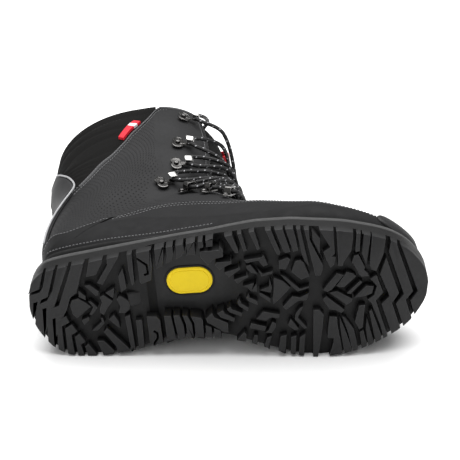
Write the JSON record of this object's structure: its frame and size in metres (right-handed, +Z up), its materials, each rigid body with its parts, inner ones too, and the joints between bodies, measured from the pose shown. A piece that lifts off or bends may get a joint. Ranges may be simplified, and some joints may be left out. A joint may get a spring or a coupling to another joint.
{
  "type": "mountaineering boot",
  "caption": "Tall laced leather mountain boot with a deep-lugged rubber sole, padded collar, lace hooks and turning lace rollers, lying on its inner side.",
  "frame": {"origin": "on the ground under the middle of the boot's bounding box, the boot lying on its inner side", "axes": "+X from heel to toe, +Y from the tread up the shaft, +Z up, towards the boot's outer side"},
  "size_m": [0.3216, 0.2818, 0.1137],
  "materials": {
    "outsole": "matte black rubber, finely pebbled, scuffed edges",
    "sole_badge": "yellow rubber inlay, plain",
    "midsole": "charcoal polyurethane foam cup",
    "vamp": "waxed black nubuck",
    "quarter": "charcoal leather with fine punched dots",
    "collar": "black stretch weave over padding",
    "lining": "dark grey knitted lining",
    "tongue": "black padded weave",
    "insole_board": "pressed fibre board",
    "heel_counter": "moulded stiffener",
    "toe_puff": "moulded stiffener",
    "shank": "plain steel strip",
    "footbed": "felt-topped foam",
    "rand": "waxed black nubuck",
    "toe_bumper": "smooth black rubber",
    "facing": "smooth charcoal leather",
    "heel_patch": "smooth charcoal leather",
    "heel_piping": "light grey piping",
    "side_label": "red woven label with a plain white bar",
    "pull_tab": "red webbing with a plain white bar",
    "lace": "round black braid with light flecks",
    "aglet": "black sleeve",
    "lace_hook": "polished dark nickel",
    "rivet": "bright steel",
    "roller_clip": "polished dark nickel",
    "lace_roller": "bright steel"
  },
  "bodies": {
    "boot": {"outsole": "outsole", "sole_badge": "sole_badge", "midsole": "midsole", "vamp": "vamp", "quarter_outer": "quarter", "quarter_inner": "quarter", "collar": "collar", "lining": "lining", "tongue": "tongue", "insole_board": "insole_board", "heel_counter": "heel_counter", "toe_puff": "toe_puff", "shank": "shank", "footbed": "footbed", "rand_outer": "rand", "rand_inner": "rand", "heel_rand": "rand", "toe_bumper": "toe_bumper", "facing_outer": "facing", "facing_inner": "facing", "heel_patch": "heel_patch", "heel_piping": "heel_piping", "side_label": "side_label", "pull_tab": "pull_tab", "lace": "lace", "aglet_1": "aglet", "aglet_2": "aglet", "hook_outer_4": "lace_hook", "hook_outer_5": "lace_hook", "hook_outer_6": "lace_hook", "hook_outer_7": "lace_hook", "hook_inner_4": "lace_hook", "hook_inner_5": "lace_hook", "hook_inner_6": "lace_hook", "hook_inner_7": "lace_hook", "rivet_outer_4": "rivet", "rivet_outer_5": "rivet", "rivet_outer_6": "rivet", "rivet_outer_7": "rivet", "rivet_inner_4": "rivet", "rivet_inner_5": "rivet", "rivet_inner_6": "rivet", "rivet_inner_7": "rivet", "clip_outer_1": "roller_clip", "clip_outer_2": "roller_clip", "clip_outer_3": "roller_clip", "clip_inner_1": "roller_clip", "clip_inner_2": "roller_clip", "clip_inner_3": "roller_clip"},
    "roller_outer_1": {"roller_outer_1": "lace_roller"},
    "roller_outer_2": {"roller_outer_2": "lace_roller"},
    "roller_outer_3": {"roller_outer_3": "lace_roller"},
    "roller_inner_1": {"roller_inner_1": "lace_roller"},
    "roller_inner_2": {"roller_inner_2": "lace_roller"},
    "roller_inner_3": {"roller_inner_3": "lace_roller"}
  },
  "joints": [
    {"name": "roller_outer_1_spin", "type": "hinge", "parent": "boot", "child": "roller_outer_1", "pos_m": [0.00497, -0.02302, 0.09034], "axis": [0.078, 0.3401, 0.9372], "continuous": true},
    {"name": "roller_outer_2_spin", "type": "hinge", "parent": "boot", "child": "roller_outer_2", "pos_m": [-0.01063, -0.01021, 0.08862], "axis": [-0.039, -0.2639, -0.9638], "continuous": true},
    {"name": "roller_outer_3_spin", "type": "hinge", "parent": "boot", "child": "roller_outer_3", "pos_m": [-0.02781, -0.00905, 0.08892], "axis": [0.011, -0.1999, -0.9797], "continuous": true},
    {"name": "roller_inner_1_spin", "type": "hinge", "parent": "boot", "child": "roller_inner_1", "pos_m": [0.01063, -0.02312, 0.0181], "axis": [0.278, 0.313, -0.9081], "continuous": true},
    {"name": "roller_inner_2_spin", "type": "hinge", "parent": "boot", "child": "roller_inner_2", "pos_m": [-0.00488, -0.01042, 0.01575], "axis": [-0.252, -0.208, 0.9451], "continuous": true},
    {"name": "roller_inner_3_spin", "type": "hinge", "parent": "boot", "child": "roller_inner_3", "pos_m": [-0.0217, -0.00936, 0.011], "axis": [0.204, 0.118, -0.9718], "continuous": true}
  ]
}
